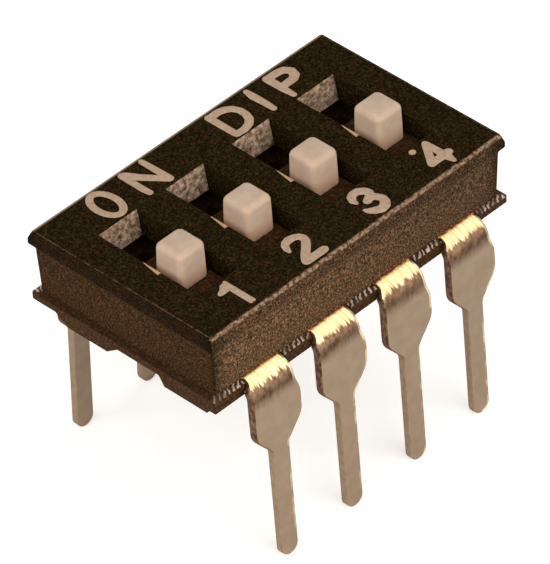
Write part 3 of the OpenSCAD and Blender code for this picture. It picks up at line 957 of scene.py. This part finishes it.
def even_points(points, gap=0.03):
    """The path with extra points so that none lie further apart than gap."""
    path = [Vector(points[0])]
    for a, b in zip(points, points[1:]):
        a, b = Vector(a), Vector(b)
        count = max(1, math.ceil((b - a).length / gap))
        path += [a.lerp(b, k / count) for k in range(1, count + 1)]
    return path


def stroke_stations(points):
    """Points along a stroke, each as (place, direction, width), with round ends if it is open."""
    closed = (Vector(points[0]) - Vector(points[-1])).length < 1e-6
    path = even_points(points)
    stations = []
    last = len(path) - 1
    for k, point in enumerate(path):
        before = path[(k - 1) % last] if closed else path[max(k - 2, 0)]
        after = path[(k + 1) % last] if closed else path[min(k + 2, last)]
        stations.append((point.xy, (after - before).xy.normalized(), point.z))
    if closed:
        return stations[:-1], True
    caps = [math.radians(t) for t in CAP_TURNS]
    (first, first_along, first_w), (last, last_along, last_w) = stations[0], stations[-1]
    starts = [(first - first_along * first_w / 2 * math.sin(t), first_along, first_w * math.cos(t))
              for t in reversed(caps)]
    ends = [(last + last_along * last_w / 2 * math.sin(t), last_along, last_w * math.cos(t))
            for t in caps]
    return starts + stations + ends, False


def add_stroke(bm, points, height):
    """Low rounded bead along a path, closed into a shell of its own."""
    stations, closed = stroke_stations(points)
    rings = []
    for point, along, width in stations:
        across = Vector((-along.y, along.x))
        places = [(point + across * u * width / 2, h) for u, h in STROKE_PROFILE]
        rings.append([bm.verts.new(Vector((place.x, place.y, TOP_Z + h * height)) * MM)
                      for place, h in places])
    n = len(STROKE_PROFILE)
    pairs = list(zip(rings, rings[1:])) + ([(rings[-1], rings[0])] if closed else [])
    for a, b in pairs:
        for k in range(n):
            bm.faces.new((a[k], a[(k + 1) % n], b[(k + 1) % n], b[k]))
    if not closed:
        bm.faces.new(list(reversed(rings[0])))
        bm.faces.new(rings[-1])


def make_marking():
    """ON, DIP and the position numbers, as low beads of paint on the top face."""
    material = marking_material()
    for name, strokes in MARKS.items():
        bm = bmesh.new()
        for k, stroke in enumerate(strokes):
            add_stroke(bm, stroke, STROKE_H + STROKE_RISE * k)
        new_piece(name, bm, [material], HOUSING)


# ---------------------------------------------------------------- stage and light

FLOOR_METRES = 1.5
FLOOR_COLOUR = 0.8, 0.79, 0.77
FLOOR_GLOW = 0.5
AMBIENT = 0.35
LIGHT_DISTANCE = 260
LIGHT_AIM_Z = 5


def make_floor():
    """Pale floor that reads white to the camera and keeps a soft shadow."""
    bm = bmesh.new()
    bmesh.ops.create_grid(bm, x_segments=2, y_segments=2, size=FLOOR_METRES)
    mesh = bpy.data.meshes.new("floor")
    bm.to_mesh(mesh)
    bm.free()
    floor = bpy.data.objects.new("floor", mesh)
    bpy.context.scene.collection.objects.link(floor)
    material = bpy.data.materials.new("floor")
    material.use_nodes = True
    nodes, links = material.node_tree.nodes, material.node_tree.links
    nodes.clear()
    output = nodes.new("ShaderNodeOutputMaterial")
    diffuse = nodes.new("ShaderNodeBsdfDiffuse")
    diffuse.inputs["Color"].default_value = (*FLOOR_COLOUR, 1)
    glow = nodes.new("ShaderNodeEmission")
    glow.inputs["Color"].default_value = (1, 1, 1, 1)
    rays = nodes.new("ShaderNodeLightPath")
    strength = nodes.new("ShaderNodeMath")
    strength.operation = "MULTIPLY"
    strength.inputs[1].default_value = FLOOR_GLOW
    links.new(rays.outputs["Is Camera Ray"], strength.inputs[0])
    links.new(strength.outputs["Value"], glow.inputs["Strength"])
    both = nodes.new("ShaderNodeAddShader")
    links.new(diffuse.outputs["BSDF"], both.inputs[0])
    links.new(glow.outputs["Emission"], both.inputs[1])
    links.new(both.outputs["Shader"], output.inputs["Surface"])
    mesh.materials.append(material)


def make_world():
    """Even ambient light; white where the camera or a reflection sees it."""
    world = bpy.data.worlds.new("world")
    bpy.context.scene.world = world
    world.use_nodes = True
    nodes, links = world.node_tree.nodes, world.node_tree.links
    background = nodes["Background"]
    background.inputs["Color"].default_value = (1, 1, 1, 1)
    rays = nodes.new("ShaderNodeLightPath")
    seen = None
    for name in ("Is Camera Ray", "Is Glossy Ray", "Is Transmission Ray"):
        if seen is None:
            seen = rays.outputs[name]
            continue
        larger = nodes.new("ShaderNodeMath")
        larger.operation = "MAXIMUM"
        links.new(seen, larger.inputs[0])
        links.new(rays.outputs[name], larger.inputs[1])
        seen = larger.outputs["Value"]
    strength = nodes.new("ShaderNodeMapRange")
    strength.inputs["To Min"].default_value = AMBIENT
    strength.inputs["To Max"].default_value = 1.0
    links.new(seen, strength.inputs["Value"])
    links.new(strength.outputs["Result"], background.inputs["Strength"])


def make_light(name, direction, size, radiance, colour):
    """Square softbox that faces the object; radiance is what a mirror would show."""
    data = bpy.data.lights.new(name, "AREA")
    data.shape = "SQUARE"
    data.size = size * MM
    data.color = colour
    data.energy = radiance * math.pi * (size * MM) ** 2
    light = bpy.data.objects.new(name, data)
    place = Vector(direction).normalized() * LIGHT_DISTANCE * MM
    light.location = place + Vector((0, 0, LIGHT_AIM_Z * MM))
    light.rotation_euler = (-place).to_track_quat("-Z", "Y").to_euler()
    bpy.context.scene.collection.objects.link(light)


def make_lights():
    """A small softbox above and behind, and two broad ones from the sides that the view shows."""
    make_light("overhead", (0.5, 0.05, 0.86), 150, 1.4, (1.0, 0.98, 0.92))
    make_light("front_fill", (0.05, -0.9, 0.42), 300, 2.1, (1.0, 0.96, 0.91))
    make_light("left_fill", (-0.9, 0.0, 0.42), 300, 2.1, (1.0, 0.96, 0.91))


make_cover()
make_base()
make_sliders()
make_springs()
make_leads()
make_marking()
make_floor()
make_world()
make_lights()
